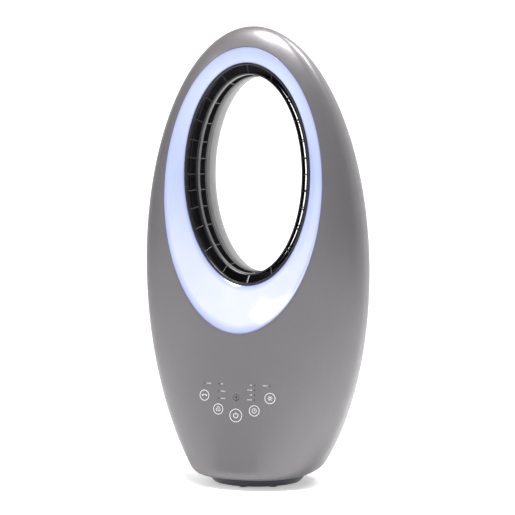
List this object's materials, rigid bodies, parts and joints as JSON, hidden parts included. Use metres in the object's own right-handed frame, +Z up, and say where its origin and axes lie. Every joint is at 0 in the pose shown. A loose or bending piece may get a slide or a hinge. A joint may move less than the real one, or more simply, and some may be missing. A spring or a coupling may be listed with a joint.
{
  "type": "tower fan",
  "caption": "Egg-shaped bladeless fan on a low swivel base, with an oval air opening, a glowing light crescent round it and touch keys low on the front.",
  "frame": {"origin": "on the swivel axis at the floor, the bottom centre of the whole fan", "axes": "+Z up, front with the keys and light crescent towards -Y, +X to the right of someone facing the front"},
  "size_m": [0.3046, 0.1686, 0.6],
  "materials": {
    "shell_paint": "metallic grey lacquer, high gloss",
    "shell_lip": "metallic grey lacquer",
    "diffuser": "opal, glowing cool white",
    "outlet_black": "black, satin",
    "duct_black": "black, satin",
    "base_black": "blue-black, fine texture",
    "inner_grey": "moulded grey",
    "white_plastic": "moulded white",
    "foam": "open-cell foam",
    "rubber": "soft rubber",
    "steel": "zinc plated",
    "ballast": "blackened",
    "gear_plastic": "acetal",
    "circuit_green": "circuit board",
    "copper": "plated springs",
    "clear_plastic": "smoked clear",
    "component_black": "moulded component"
  },
  "bodies": {
    "base": {"base_housing": "base_black", "base_cover": "base_black", "rubber_feet": "rubber", "base_weight": "ballast", "pivot_post": "steel", "thrust_washer": "gear_plastic", "retaining_clip": "steel", "swing_gear": "gear_plastic", "cord_gland": "rubber"},
    "tower": {"turntable_plate": "base_black", "front_shell": "shell_paint", "rear_shell": "shell_lip", "intake_grille": "outlet_black", "dust_filter": "foam", "shell_screws": "steel", "light_ring": "diffuser", "light_reflector": "white_plastic", "led_board": "white_plastic", "leds": "diffuser", "outlet_grille": "outlet_black", "air_channel": "duct_black", "air_neck": "inner_grey", "blower_housing": "inner_grey", "motor_grommets": "rubber", "stator_vanes": "inner_grey", "motor_bracket": "steel", "motor_screws": "steel", "motor_housing": "steel", "motor_end_cap": "component_black", "control_board": "circuit_green", "touch_pads": "copper", "indicator_pipes": "clear_plastic", "buzzer": "component_black", "remote_receiver": "component_black", "power_board": "circuit_green", "power_parts": "component_black", "board_spacers": "white_plastic", "swing_motor": "steel", "swing_motor_screws": "steel"},
    "rotor": {"impeller": "outlet_black", "motor_shaft": "steel", "impeller_nut": "steel"},
    "drive_pinion": {"swing_pinion": "gear_plastic"}
  },
  "joints": [
    {"name": "swing", "type": "hinge", "parent": "base", "child": "tower", "pos_m": [0, 0, 0.018], "axis": [0, 0, 1], "range_deg": [-45, 45]},
    {"name": "fan_spin", "type": "hinge", "parent": "tower", "child": "rotor", "pos_m": [0, 0.006, 0.105], "axis": [0, 0, 1], "continuous": true},
    {"name": "pinion_turn", "type": "hinge", "parent": "tower", "child": "drive_pinion", "pos_m": [0, 0.033, 0.03], "axis": [0, 0, 1], "range_deg": [-125, 125]}
  ],
  "couplings": [
    {"joint": "pinion_turn", "follows": "swing", "ratio": 2.6667}
  ]
}
